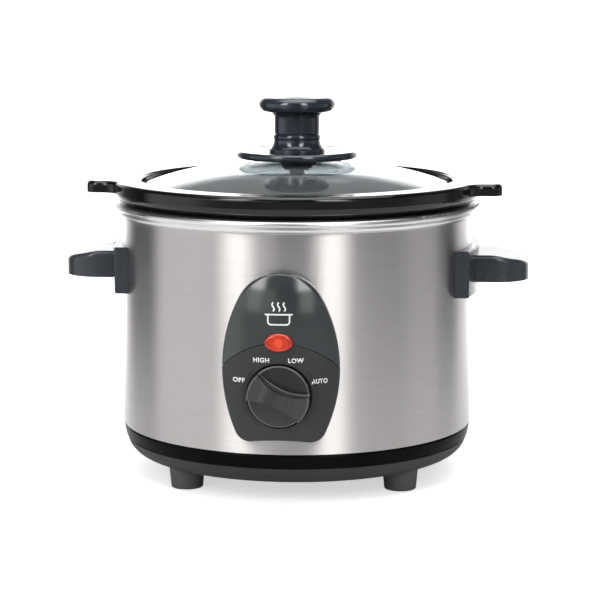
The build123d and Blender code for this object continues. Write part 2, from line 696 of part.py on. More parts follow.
def panel_blank(inset):
    """Domed block with the panel's outline, shrunk all round by inset."""
    with BuildPart() as blank:
        with BuildSketch(Plane.XZ.offset(80)):
            with BuildLine():
                panel_outline()
            make_face()
            if inset:
                offset(amount=-inset)
        extrude(amount=40)
        with BuildSketch(Plane((0, -PANEL_DOME_AXIS, 0), x_dir=(0, 1, 0), z_dir=(1, 0, 0))):
            with BuildLine():
                Spline((41.5 - inset, 126), (46.2 - inset, 114), (48 - inset, 95), (48.2 - inset, 66),
                       (47.2 - inset, 33))
                Polyline((47.2 - inset, 33), (0, 33), (0, 126), (41.5 - inset, 126))
            make_face()
        revolve(axis=Axis((0, -PANEL_DOME_AXIS, 0), (0, 0, 1)), mode=Mode.INTERSECT)
        if not inset:
            fillet(blank.faces().sort_by(Axis.Y)[0].outer_wire().edges(), 2.4)
    return blank.part


def panel_shell():
    """The whole panel as one hollow moulding, before it is parted at the seam."""
    with BuildPart() as moulding:
        add(panel_blank(0))
        add(panel_blank(PANEL_WALL), mode=Mode.SUBTRACT)
        # Solid boss behind the dial, and bosses for the screws
        with BuildSketch(Plane.XZ.offset(SWITCH_FRONT)):
            with Locations((0, DIAL_Z)):
                Circle(DIAL_POCKET_R + PANEL_WALL)
        extrude(amount=4.8)
        for x, z in PANEL_SCREWS:
            with BuildSketch(Plane.XZ.offset(90)):
                with Locations((x, z)):
                    Circle(3.1)
            extrude(until=Until.NEXT)
        with BuildSketch(Plane.XZ.offset(POCKET_FLOOR)):
            with Locations((0, DIAL_Z)):
                Circle(DIAL_POCKET_R)
        extrude(amount=10, mode=Mode.SUBTRACT)
        with BuildSketch(Plane.XZ.offset(90)):
            with Locations((0, DIAL_Z)):
                Circle(4.6)
            with Locations((0, LENS_Z)):
                Ellipse(LENS_HALF[0] + 0.1, LENS_HALF[1] + 0.1)
        extrude(amount=30, mode=Mode.SUBTRACT)
        for x, z in PANEL_SCREWS:
            with Locations(Location((x, -panel_head_y(x), z), (90, 0, 0))):
                Cylinder(1.4, 6.0, align=(Align.CENTER, Align.CENTER, Align.MIN), mode=Mode.SUBTRACT)
        with Locations((0, 0, 80)):
            Cylinder(SHELL_R, 120, mode=Mode.SUBTRACT)
    return moulding.part


def panel_head_y(x):
    """Where a panel screw's head seats inside the shell."""
    return shell_x(abs(x) + 2.7, SHELL_IN)


whole_panel = panel_shell()

with BuildPart() as panel_hood:
    add(whole_panel)
    with BuildSketch(Plane.XZ.offset(80)):
        with Locations((0, SEAM_CENTRE_Z)):
            Circle(SEAM_R + SEAM_GAP)
    extrude(amount=50, mode=Mode.SUBTRACT)
save(panel_hood, "panel_hood")

with BuildPart() as panel_fascia:
    add(whole_panel)
    with BuildSketch(Plane.XZ.offset(80)):
        with Locations((0, SEAM_CENTRE_Z)):
            Circle(SEAM_R)
    extrude(amount=50, mode=Mode.INTERSECT)
save(panel_fascia, "panel_fascia")

with BuildPart() as panel_screws:
    for x, z in PANEL_SCREWS:
        with Locations(Location((x, -panel_head_y(x), z), (90, 0, 0))):
            Cylinder(1.4, 5.6, align=(Align.CENTER, Align.CENTER, Align.MIN))
            Cylinder(2.7, 1.7, align=(Align.CENTER, Align.CENTER, Align.MAX))
save(panel_screws, "panel_screws")

with BuildPart() as indicator_lens:
    with BuildSketch(Plane.XZ.offset(100.6)):
        with Locations((0, LENS_Z)):
            Ellipse(LENS_HALF[0] + 1.3, LENS_HALF[1] + 1.3)
    extrude(amount=1.4)
    with BuildSketch(Plane.XZ.offset(102)):
        with Locations((0, LENS_Z)):
            Ellipse(*LENS_HALF)
    extrude(amount=5.6)
    fillet(indicator_lens.edges().sort_by(Axis.Y)[0], 1.6)
save(indicator_lens, "indicator_lens")

with BuildPart() as lamp_holder:
    with Locations((0, -LAMP_Y, LENS_Z)):
        Box(18, 6.4, 9)
    with Locations((0, -LAMP_Y - 2, LENS_Z)):
        Box(15, 6.4, 6.1, mode=Mode.SUBTRACT)
    with Locations(Location((0, -LAMP_Y, LENS_Z), (0, 90, 0))):
        Cylinder(3.05, 15, mode=Mode.SUBTRACT)
save(lamp_holder, "lamp_holder")

with BuildPart() as neon_lamp:
    with Locations(Location((0, -LAMP_Y, LENS_Z), (0, 90, 0))):
        Cylinder(3.0, 14.6)
    fillet(neon_lamp.edges().filter_by(GeomType.CIRCLE), 1.4)
save(neon_lamp, "neon_lamp")

with BuildPart() as lamp_resistor:
    with Locations(Location((0, -LAMP_Y + 1, LENS_Z - 7.5), (0, 90, 0))):
        Cylinder(1.3, 7.0)
        Cylinder(0.4, 13.0)
save(lamp_resistor, "lamp_resistor")

# ---------------------------------------------------------------- switch and dial

with BuildPart() as rotary_switch:
    with BuildSketch(Plane.XZ.offset(SWITCH_BACK)):
        with Locations((0, DIAL_Z)):
            RectangleRounded(24, 24, 2)
    extrude(amount=SWITCH_FRONT - SWITCH_BACK)
    with BuildSketch(Plane.XZ.offset(SWITCH_FRONT)):
        with Locations((0, DIAL_Z)):
            Circle(4.5)
    extrude(amount=4.8)
    with BuildSketch(Plane.XZ.offset(SWITCH_BACK + 2)):
        with Locations((0, DIAL_Z)):
            Circle(SHAFT_R + 0.06)
    extrude(amount=20, mode=Mode.SUBTRACT)
save(rotary_switch, "rotary_switch")

with BuildPart() as switch_nut:
    with BuildSketch(Plane.XZ.offset(POCKET_FLOOR)):
        with Locations((0, DIAL_Z)):
            RegularPolygon(6.0, 6, major_radius=False)
            Circle(4.5, mode=Mode.SUBTRACT)
    extrude(amount=2.0)
save(switch_nut, "switch_nut")


def shaft_section(radius):
    """Round shaft with one flat."""
    with Locations((0, DIAL_Z)):
        Circle(radius)
    with Locations((0, DIAL_Z + radius + 1.7)):
        Rectangle(2 * radius, 2 * radius, mode=Mode.SUBTRACT)


with BuildPart() as switch_shaft:
    with BuildSketch(Plane.XZ.offset(SWITCH_BACK + 2.2)):
        with Locations((0, DIAL_Z)):
            Circle(SHAFT_R)
    extrude(amount=FLAT_START - SWITCH_BACK - 2.2)
    with BuildSketch(Plane.XZ.offset(FLAT_START)):
        shaft_section(SHAFT_R)
    extrude(amount=FLAT_LENGTH)
save(switch_shaft, "switch_shaft")

# Dial at OFF: a disc with two round scoops that leave a waisted grip bar, arched along its
# length. The dial plane's own x axis runs along the bar.
bar_angle = radians(DIAL_OFF_ANGLE - 90)
bar_dir = (cos(bar_angle), 0, sin(bar_angle))
dial_plane = Plane((0, -DIAL_BACK, DIAL_Z), x_dir=bar_dir, z_dir=(0, -1, 0))
side_plane = Plane(dial_plane.origin, x_dir=bar_dir, z_dir=(sin(bar_angle), 0, -cos(bar_angle)))
deck = DIAL_DECK - DIAL_BACK
bar_top = DIAL_FRONT - DIAL_BACK
flare = BAR_END - BAR_WAIST
scoop_r = (DIAL_R**2 - BAR_END**2 + flare**2) / (2 * flare)
arch_drop = bar_top - BAR_END_TOP
arch_r = (DIAL_R**2 + arch_drop**2) / (2 * arch_drop)

with BuildPart() as dial_knob:
    with BuildSketch(dial_plane):
        Circle(DIAL_R)
    extrude(amount=bar_top)
    with BuildSketch(side_plane):
        with Locations((0, bar_top - arch_r)):
            Circle(arch_r)
    extrude(amount=DIAL_R + 1, both=True, mode=Mode.INTERSECT)
    with BuildSketch(dial_plane.offset(deck)):
        with Locations((0, BAR_WAIST + scoop_r), (0, -BAR_WAIST - scoop_r)):
            Circle(scoop_r)
    extrude(amount=bar_top, mode=Mode.SUBTRACT)
    fillet([e for e in dial_knob.edges() if abs(e.center().Y + DIAL_DECK) < 0.05], 1.0)
    # Hollow back, with a hub that stops clear of the switch's nut
    with BuildSketch(dial_plane):
        Circle(DIAL_R - 2.2)
        Circle(HUB_R, mode=Mode.SUBTRACT)
    extrude(amount=3.0, mode=Mode.SUBTRACT)
    with BuildSketch(dial_plane):
        Circle(HUB_R + 0.1)
    extrude(amount=1.8, mode=Mode.SUBTRACT)
    # D-shaped bore for the shaft
    with BuildSketch(Plane.XZ.offset(DIAL_BACK)):
        with Locations((0, DIAL_Z)):
            Circle(SHAFT_R + 0.02)
    extrude(amount=FLAT_START - DIAL_BACK, mode=Mode.SUBTRACT)
    with BuildSketch(Plane.XZ.offset(FLAT_START)):
        shaft_section(SHAFT_R + 0.02)
    extrude(amount=FLAT_LENGTH + 0.2, mode=Mode.SUBTRACT)
save(dial_knob, "dial_knob")

# ---------------------------------------------------------------- electrics under the liner

with BuildPart() as thermostat:
    with Locations((34, -18, LINER_FLOOR)):
        Cylinder(8.0, 4.5, align=(Align.CENTER, Align.CENTER, Align.MAX))
    with Locations((34, -18, LINER_FLOOR - 4.5)):
        Cylinder(6.2, 2.5, align=(Align.CENTER, Align.CENTER, Align.MAX))
save(thermostat, "thermostat")

with BuildPart() as thermal_fuse:
    with Locations(Location((-30, -20, LINER_FLOOR - 2.6), (0, 90, 0))):
        Cylinder(2.0, 11.0)
        Cylinder(0.6, 22.0)
save(thermal_fuse, "thermal_fuse")

with BuildPart() as fuse_clip:
    with Locations((-30, -20, LINER_FLOOR - 2.6)):
        Box(6, 18, 5.2)
    with Locations((-30, -20, LINER_FLOOR - 1.8)):
        Box(6, 5.2, 5.2, mode=Mode.SUBTRACT)
    with Locations((-30, -20, LINER_FLOOR - 3.2)):
        Box(6, 18, 5.2, align=(Align.CENTER, Align.CENTER, Align.CENTER), mode=Mode.INTERSECT)
    with Locations(Location((-30, -20, LINER_FLOOR - 2.6), (0, 90, 0))):
        Cylinder(2.0, 12, mode=Mode.SUBTRACT)
save(fuse_clip, "fuse_clip")

with BuildPart() as terminal_block:
    with Locations((-34, 34, BASE_FLOOR + 6)):
        Box(12, 30, 12)
    for y in (24, 34, 44):
        with Locations((-34, y, BASE_FLOOR + 12)):
            Cylinder(1.8, 6, mode=Mode.SUBTRACT)
save(terminal_block, "terminal_block")

with BuildPart() as gland_flange:
    with BuildSketch(Plane.XZ.offset(-101)):
        with Locations((0, GLAND_Z)):
            Circle(8.0)
    extrude(amount=8)
    fillet(gland_flange.edges().sort_by(Axis.Y)[-1], 1.2)
    with Locations((0, 0, GLAND_Z)):
        Cylinder(SHELL_R, 30, mode=Mode.SUBTRACT)

with BuildPart() as gland_collar:
    with BuildSketch(Plane.XZ.offset(-91)):
        with Locations((0, GLAND_Z)):
            Circle(6.6)
    extrude(amount=-7)
    with Locations((0, 0, GLAND_Z)):
        Cylinder(SHELL_IN, 30, mode=Mode.INTERSECT)

with BuildPart() as cord_gland:
    with BuildSketch(Plane.XZ.offset(-91)):
        with Locations((0, GLAND_Z)):
            Circle(5.5)
    extrude(amount=-9)
    add(gland_flange.part)
    add(gland_collar.part)
    with BuildSketch(Plane.XZ.offset(-90)):
        with Locations((0, GLAND_Z)):
            Circle(GLAND_BORE)
    extrude(amount=-12, mode=Mode.SUBTRACT)
save(cord_gland, "cord_gland")

# ---------------------------------------------------------------- internal wires

# Each wire is straight runs with arcs as large as the runs allow.
wire_routes = {
    "wire_live": [
        (-34, 19, 19),
        (-34, -4, 18.5),
        (-27, -34, 18),
        (-14, -66, 20),
        (-7, -88, 29),
        (-6, -93, DIAL_Z - 12),
    ],
    "wire_neutral": [
        (-34, 49, 19),
        (-34, 64, 19.5),
        (-25, 83, 25),
        (-13, 90, 37),
        (-10, 89.5, 58),
        (-9, 87.75, 77.9),
    ],
    "wire_heater": [
        (12, -92.5, 62),
        (19, -92.5, 62),
        (29, -86.5, 64.5),
        (34.5, -81.6, 70),
        (34.9, -80.8, 77.9),
    ],
    "wire_lamp": [
        (-9, -94.5, DIAL_Z + 12),
        (-9, -94.5, 76.5),
        (-7.4, -95.6, 80.2),
    ],
}


def corner_radii(points):
    """Radius of each arc: 0.45 of the shorter run, over the tangent of half the turn."""
    radii = []
    for before, corner, after in zip(points, points[1:], points[2:]):
        run_in = Vector(*corner) - Vector(*before)
        run_out = Vector(*after) - Vector(*corner)
        half_turn = radians(run_in.get_angle(run_out)) / 2
        radii.append(0.45 * min(run_in.length, run_out.length) / tan(half_turn))
    return radii


for wire_name, route in wire_routes.items():
    with BuildPart() as wire:
        with BuildLine() as path:
            FilletPolyline(*route, radius=corner_radii(route))
        with BuildSketch(Plane(path.line @ 0, z_dir=path.line % 0)):
            Circle(WIRE_R)
        sweep()
    save(wire, wire_name)
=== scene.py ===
import json
from math import cos, pi, radians, sin

import bmesh
import bpy
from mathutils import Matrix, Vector


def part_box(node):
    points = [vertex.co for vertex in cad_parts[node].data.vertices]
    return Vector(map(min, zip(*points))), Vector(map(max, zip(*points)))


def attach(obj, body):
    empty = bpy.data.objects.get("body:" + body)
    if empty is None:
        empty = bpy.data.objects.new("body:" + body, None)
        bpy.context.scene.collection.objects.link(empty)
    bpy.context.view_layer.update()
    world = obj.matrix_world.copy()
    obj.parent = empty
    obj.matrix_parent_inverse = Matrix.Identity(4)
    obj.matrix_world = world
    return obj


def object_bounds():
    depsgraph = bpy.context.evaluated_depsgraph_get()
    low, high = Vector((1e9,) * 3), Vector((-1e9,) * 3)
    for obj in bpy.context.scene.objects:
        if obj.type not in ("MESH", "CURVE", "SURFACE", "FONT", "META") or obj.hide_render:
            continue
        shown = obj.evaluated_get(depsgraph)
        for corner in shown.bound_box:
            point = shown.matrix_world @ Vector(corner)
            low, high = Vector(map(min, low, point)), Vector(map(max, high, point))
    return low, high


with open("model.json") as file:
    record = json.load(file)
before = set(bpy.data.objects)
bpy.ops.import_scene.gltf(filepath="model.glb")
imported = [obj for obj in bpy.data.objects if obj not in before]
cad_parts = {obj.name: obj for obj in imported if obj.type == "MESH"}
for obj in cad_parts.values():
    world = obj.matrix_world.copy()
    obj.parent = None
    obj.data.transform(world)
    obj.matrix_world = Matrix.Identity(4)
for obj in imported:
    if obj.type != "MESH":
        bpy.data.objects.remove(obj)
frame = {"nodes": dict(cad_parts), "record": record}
cad_low, cad_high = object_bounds()
nodes = frame["nodes"]
MM = 0.001

# ---------------------------------------------------------------- places read from the frame

shell_low, shell_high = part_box("outer_shell")
AXIS = Vector(((shell_low.x + shell_high.x) / 2, (shell_low.y + shell_high.y) / 2, 0))
SHELL_R = (shell_high.x - shell_low.x) / 2
dial_low, dial_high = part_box("dial_knob")
DIAL = (dial_low + dial_high) / 2
lens_low, lens_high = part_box("indicator_lens")
LENS = (lens_low + lens_high) / 2


# ---------------------------------------------------------------- camera and light

CAMERA_TURN = radians(5.1)
CAMERA_PITCH = radians(9.16)
CAMERA_DISTANCE = 1.1834
CAMERA_HEIGHT = 0.2856


def make_camera():
    """Long lens, a little above the rim and a little to the right of the dial."""
    data = bpy.data.cameras.new("camera")
    data.lens = 128.0
    data.sensor_width = 36.0
    data.shift_x = 0.005
    data.clip_end = 100.0
    camera = bpy.data.objects.new("camera", data)
    camera.location = AXIS + Vector((
        CAMERA_DISTANCE * sin(CAMERA_TURN), -CAMERA_DISTANCE * cos(CAMERA_TURN), CAMERA_HEIGHT))
    camera.rotation_euler = (pi / 2 - CAMERA_PITCH, 0, CAMERA_TURN)
    bpy.context.scene.collection.objects.link(camera)
    bpy.context.scene.camera = camera


class Graph:
    """Short names for building a node tree."""

    def __init__(self, tree):
        self.tree = tree
        tree.nodes.clear()

    def add(self, kind, **settings):
        """A node with its properties set."""
        node = self.tree.nodes.new(kind)
        for key, value in settings.items():
            setattr(node, key, value)
        return node

    def link(self, source, target):
        self.tree.links.new(source, target)

    def feed(self, target, value):
        """Puts a number or an output socket into an input socket."""
        if isinstance(value, bpy.types.NodeSocket):
            self.link(value, target)
        else:
            target.default_value = value

    def math(self, operation, a, b=0.0, c=0.0):
        """One arithmetic step; a, b and c are numbers or sockets."""
        node = self.add("ShaderNodeMath", operation=operation)
        for socket, value in zip(node.inputs, (a, b, c)):
            self.feed(socket, value)
        return node.outputs[0]

    def distance(self, a, b):
        """Distance from the origin of a plane to the point (a, b)."""
        return self.math("SQRT", self.math("ADD", self.math("POWER", a, 2.0), self.math("POWER", b, 2.0)))

    def smooth(self, value, low, high, out_low=0.0, out_high=1.0):
        """Smooth step of value from low to high."""
        node = self.add("ShaderNodeMapRange", interpolation_type="SMOOTHSTEP")
        for name, item in (("Value", value), ("From Min", low), ("From Max", high),
                           ("To Min", out_low), ("To Max", out_high)):
            self.feed(node.inputs[name], item)
        return node.outputs[0]

    def ramp(self, value, stops):
        """Colour ramp; each stop is (place, grey level or colour)."""
        node = self.add("ShaderNodeValToRGB")
        elements = node.color_ramp.elements
        while len(elements) < len(stops):
            elements.new(0.5)
        for element, (place, level) in zip(elements, stops):
            element.position = place
            colour = level if isinstance(level, tuple) else (level, level, level)
            element.color = (*colour, 1)
        self.feed(node.inputs[0], value)
        return node.outputs[0]

    def noise(self, vector, scale, detail=3.0, roughness=0.5):
        node = self.add("ShaderNodeTexNoise")
        self.feed(node.inputs["Vector"], vector)
        self.feed(node.inputs["Scale"], scale)
        self.feed(node.inputs["Detail"], detail)
        self.feed(node.inputs["Roughness"], roughness)
        return node.outputs[0]

    def mix(self, factor, a, b):
        node = self.add("ShaderNodeMix", data_type="RGBA")
        self.feed(node.inputs["Factor"], factor)
        colour_sockets = [s for s in node.inputs if s.type == "RGBA"]
        self.feed(colour_sockets[0], a)
        self.feed(colour_sockets[1], b)
        return [s for s in node.outputs if s.type == "RGBA"][0]

    def bump(self, height, distance, strength=1.0, edge=0.0):
        """Bump; with an edge radius, sharp edges also shade as if they were rounded."""
        node = self.add("ShaderNodeBump")
        if edge:
            rounded = self.add("ShaderNodeBevel", samples=6)
            rounded.inputs["Radius"].default_value = edge
            self.link(rounded.outputs[0], node.inputs["Normal"])
        self.feed(node.inputs["Strength"], strength)
        self.feed(node.inputs["Distance"], distance)
        self.feed(node.inputs["Height"], height)
        return node.outputs[0]


WALL_LIGHT = 2.7
BOX_LIGHT = 6.5
CEILING_LIGHT = 1.8
SKIRTING = (0.24, 0.24, 0.25, 1)


def studio_world():
    """Studio walls by azimuth: two soft strips either side of the camera, a dark gap between
    them, grey sides, dark flags and a white wall opposite. The camera itself sees plain white."""
    world = bpy.data.worlds.new("studio")
    bpy.context.scene.world = world
    world.use_nodes = True
    g = Graph(world.node_tree)
    direction = g.add("ShaderNodeTexCoord").outputs["Generated"]
    parts = g.add("ShaderNodeSeparateXYZ")
    g.link(direction, parts.inputs[0])
    x, y, z = parts.outputs
    # Azimuth from the camera's side, as a share of a turn: 0.5 is behind the camera
    turn_cos, turn_sin = cos(CAMERA_TURN), sin(CAMERA_TURN)
    turned_x = g.math("ADD", g.math("MULTIPLY", x, turn_cos), g.math("MULTIPLY", y, turn_sin))
    turned_y = g.math("SUBTRACT", g.math("MULTIPLY", y, turn_cos), g.math("MULTIPLY", x, turn_sin))
    azimuth = g.math("ARCTAN2", turned_x, g.math("MULTIPLY", turned_y, -1.0))
    share = g.math("MULTIPLY_ADD", azimuth, 1 / (2 * pi), 0.5)

    def at(degrees):
        return 0.5 + degrees / 360

    walls = g.ramp(share, [
        (at(-180), 1.00), (at(-160), 1.00), (at(-148), 0.36), (at(-134), 0.06), (at(-110), 0.01),
        (at(-98), 0.30), (at(-75), 0.31), (at(-54), 0.34), (at(-48), 0.60), (at(-37), 0.60),
        (at(-31), 0.33), (at(-17), 0.22), (at(-10), 0.03), (at(10), 0.02), (at(15), 0.20),
        (at(20), 0.58), (at(31), 0.60), (at(37), 0.13), (at(48), 0.08), (at(70), 0.09),
        (at(80), 0.15), (at(100), 0.16), (at(108), 0.05), (at(122), 0.04), (at(136), 0.35),
        (at(150), 0.50), (at(160), 1.00), (at(180), 1.00)])
    # A plain grey skirting runs below eye level ahead, where upright glossy faces look
    ahead = g.math("ABSOLUTE", g.math("SUBTRACT", share, 0.5))
    skirting = g.math("MULTIPLY", g.smooth(z, -0.30, -0.25), g.smooth(z, -0.05, -0.01, 1.0, 0.0))
    skirting = g.math("MULTIPLY", skirting, g.smooth(ahead, 0.13, 0.20, 1.0, 0.0))
    wall_light = g.mix(skirting, g.math("MULTIPLY", walls, WALL_LIGHT), SKIRTING)
    # Above eye level the walls fall away, except for the two soft boxes
    fade = g.smooth(z, 0.26, 0.42, 1.0, 0.14)
    boxes = g.ramp(share, [
        (at(-54), 0.0), (at(-47), 1.0), (at(-35), 1.0), (at(-28), 0.0),
        (at(11), 0.0), (at(17), 1.0), (at(29), 1.0), (at(35), 0.0)])
    box_height = g.math("MULTIPLY", g.smooth(z, 0.26, 0.38), g.smooth(z, 0.70, 0.80, 1.0, 0.0))
    box_light = g.math("MULTIPLY", g.math("MULTIPLY", boxes, box_height), BOX_LIGHT)
    ceiling = g.smooth(z, 0.86, 0.95, 0.0, CEILING_LIGHT)
    room = g.math("ADD", g.math("MULTIPLY_ADD", wall_light, fade, ceiling), box_light)
    seen = g.add("ShaderNodeBackground")
    seen.inputs["Color"].default_value = (1, 1, 1, 1)
    lighting = g.add("ShaderNodeBackground")
    g.link(room, lighting.inputs["Color"])
    chooser = g.add("ShaderNodeMixShader")
    g.link(g.add("ShaderNodeLightPath").outputs["Is Camera Ray"], chooser.inputs[0])
    g.link(lighting.outputs[0], chooser.inputs[1])
    g.link(seen.outputs[0], chooser.inputs[2])
    g.link(chooser.outputs[0], g.add("ShaderNodeOutputWorld").inputs["Surface"])
    bpy.context.scene.view_settings.view_transform = "Standard"


def area_light(name, place, target, size, watts):
    data = bpy.data.lights.new(name, "AREA")
    data.shape = "RECTANGLE"
    data.size, data.size_y = size
    data.energy = watts
    light = bpy.data.objects.new(name, data)
    light.location = place
    light.rotation_euler = (Vector(target) - Vector(place)).to_track_quat("-Z", "Y").to_euler()
    bpy.context.scene.collection.objects.link(light)
    light.visible_camera = False


TABLE_R = 0.40


def table_disc(name, inner, outer):
    """Flat ring on the table plane about the pot's axis."""
    bm = bmesh.new()
    steps = 128
    rings = []
    for radius in (inner, outer):
        ring = []
        for n in range(steps):
            angle = 2 * pi * n / steps
            ring.append(bm.verts.new(AXIS + Vector((radius * cos(angle), radius * sin(angle), 0))))
        rings.append(ring)
    for n in range(steps):
        follow = (n + 1) % steps
        bm.faces.new((rings[0][n], rings[1][n], rings[1][follow], rings[0][follow]))
    mesh = bpy.data.meshes.new(name)
    bm.to_mesh(mesh)
    bm.free()
    disc = bpy.data.objects.new(name, mesh)
    bpy.context.scene.collection.objects.link(disc)
    return disc


def make_floor():
    """Pale table under the pot, and the same white carried on to the horizon. The far part is
    left out of reflections, so that the steel shows the studio's walls and not the floor."""
    made = bpy.data.materials.new("floor")
    made.use_nodes = True
    g = Graph(made.node_tree)
    seen = g.add("ShaderNodeBsdfPrincipled")
    seen.inputs["Base Color"].default_value = (0.95, 0.95, 0.95, 1)
    seen.inputs["Roughness"].default_value = 0.6
    seen.inputs["Emission Color"].default_value = (1, 1, 1, 1)
    seen.inputs["Emission Strength"].default_value = 0.58
    bounced = g.add("ShaderNodeBsdfDiffuse")
    bounced.inputs["Color"].default_value = (0.74, 0.74, 0.74, 1)
    chooser = g.add("ShaderNodeMixShader")
    g.link(g.add("ShaderNodeLightPath").outputs["Is Camera Ray"], chooser.inputs[0])
    g.link(bounced.outputs[0], chooser.inputs[1])
    g.link(seen.outputs[0], chooser.inputs[2])
    g.link(chooser.outputs[0], g.add("ShaderNodeOutputMaterial").inputs["Surface"])
    near = table_disc("floor_near", 0.0001, TABLE_R)
    far = table_disc("floor_far", TABLE_R, 30.0)
    far.visible_glossy = False
    far.visible_diffuse = False
    for disc in (near, far):
        disc.data.materials.append(made)


make_camera()
studio_world()
make_floor()
area_light("top_box", AXIS + Vector((0.1, -0.15, 1.6)), AXIS + Vector((0, 0, 0.1)), (1.8, 1.8), 14)


# ---------------------------------------------------------------- materials

def material(name, **values):
    """Principled material, its graph and its shader, with plain values set on the shader."""
    made = bpy.data.materials.new(name)
    made.use_nodes = True
    g = Graph(made.node_tree)
    shader = g.add("ShaderNodeBsdfPrincipled")
    g.link(shader.outputs[0], g.add("ShaderNodeOutputMaterial").inputs["Surface"])
    for key, value in values.items():
        shader.inputs[key.replace("_", " ")].default_value = value
    return made, g, shader


def coordinates(g):
    """Object coordinates, which are the row's own metres."""
    return g.add("ShaderNodeTexCoord").outputs["Object"]


def around(g):
    """Coordinates round the pot: metres along the wall, radius, height."""
    parts = g.add("ShaderNodeSeparateXYZ")
    g.link(coordinates(g), parts.inputs[0])
    y = g.math("SUBTRACT", parts.outputs[1], AXIS.y)
    angle = g.math("ARCTAN2", parts.outputs[0], g.math("MULTIPLY", y, -1.0))
    radius = g.distance(parts.outputs[0], y)
    return angle, radius, parts.outputs[2]


def brushed(name, colour, roughness, strokes, anisotropy, depth):
    """Steel brushed round the pot: fine strokes stacked up the wall, each a few cm long."""
    made, g, shader = material(name, Metallic=1.0, Anisotropic=anisotropy, Anisotropic_Rotation=0.25)
    tangent = g.add("ShaderNodeTangent", direction_type="RADIAL", axis="Z")
    g.link(tangent.outputs[0], shader.inputs["Tangent"])
    angle, radius, z = around(g)
    joined = g.add("ShaderNodeCombineXYZ")
    g.feed(joined.inputs[0], g.math("MULTIPLY", angle, SHELL_R * 28))
    g.feed(joined.inputs[1], g.math("MULTIPLY", radius, strokes))
    g.feed(joined.inputs[2], g.math("MULTIPLY", z, strokes))
    fine = g.noise(joined.outputs[0], 1.0, 4.0, 0.65)
    broad = g.noise(coordinates(g), 9.0, 2.0)
    light = tuple(min(1.0, c * 1.06) for c in colour)
    dark = tuple(c * 0.86 for c in colour)
    g.link(g.ramp(fine, [(0.25, dark), (0.5, colour), (0.75, light)]), shader.inputs["Base Color"])
    rough = g.math("MULTIPLY_ADD", fine, 0.10, roughness - 0.06)
    g.link(g.math("MULTIPLY_ADD", broad, 0.03, rough), shader.inputs["Roughness"])
    g.link(g.bump(fine, depth, 0.35), shader.inputs["Normal"])
    return made


MOULDED_EDGE = 0.0004


def moulded(name, colour, roughness, grain, depth, coat=0.0, coat_roughness=0.1, wear=0.0):
    """Moulded plastic: a fine skin texture, slow change of gloss, and faint rub marks."""
    made, g, shader = material(name, IOR=1.5, Coat_Weight=coat, Coat_Roughness=coat_roughness)
    where = coordinates(g)
    skin = g.noise(where, grain, 3.0, 0.6)
    cloud = g.noise(where, 38.0, 3.0)
    rubbed = g.noise(where, 210.0, 5.0, 0.7)
    dark = tuple(c * 0.88 for c in colour)
    light = tuple(c * (1.14 + wear) for c in colour)
    g.link(g.ramp(cloud, [(0.3, dark), (0.7, light)]), shader.inputs["Base Color"])
    rough = g.math("MULTIPLY_ADD", cloud, 0.08, roughness - 0.04)
    rough = g.math("MULTIPLY_ADD", rubbed, 0.06, g.math("SUBTRACT", rough, 0.03))
    g.link(rough, shader.inputs["Roughness"])
    g.link(g.bump(skin, depth, 0.5, MOULDED_EDGE), shader.inputs["Normal"])
    return made


def glaze():
    """Black glaze over stoneware: glassy, with a faint ripple, pinholes and a bare foot."""
    made, g, shader = material("crock_glaze", IOR=1.48, Coat_Weight=0.2, Coat_Roughness=0.03)
    where = coordinates(g)
    ripple = g.noise(where, 55.0, 2.0, 0.4)
    pores = g.noise(where, 1500.0, 2.0, 0.5)
    parts = g.add("ShaderNodeSeparateXYZ")
    g.link(where, parts.inputs[0])
    crock_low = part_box("crock")[0]
    bare = g.smooth(parts.outputs[2], crock_low.z + 0.0008, crock_low.z + 0.0014, 1.0, 0.0)
    body = g.ramp(pores, [(0.35, (0.50, 0.43, 0.34)), (0.7, (0.66, 0.58, 0.47))])
    gloss = g.ramp(ripple, [(0.3, (0.004, 0.0035, 0.004)), (0.7, (0.008, 0.007, 0.007))])
    g.link(g.mix(bare, gloss, body), shader.inputs["Base Color"])
    rough = g.math("MULTIPLY_ADD", ripple, 0.05, 0.045)
    g.link(g.math("MULTIPLY_ADD", bare, 0.6, rough), shader.inputs["Roughness"])
    height = g.math("MULTIPLY_ADD", pores, 0.04, ripple)
    g.link(g.bump(height, 0.00025, 0.45), shader.inputs["Normal"])
    return made


def clear_glass():
    """Clear glass with a faint film and smears."""
    made, g, shader = material("clear_glass", IOR=1.5, Transmission_Weight=0.95)
    where = coordinates(g)
    smear = g.noise(where, 24.0, 4.0, 0.6)
    tint = g.ramp(smear, [(0.3, (0.86, 0.94, 0.965)), (0.7, (0.89, 0.96, 0.98))])
    g.link(tint, shader.inputs["Base Color"])
    g.link(g.math("MULTIPLY_ADD", smear, 0.012, 0.0), shader.inputs["Roughness"])
    g.link(g.bump(g.noise(where, 14.0, 1.0), 0.0003, 0.04), shader.inputs["Normal"])
    return made


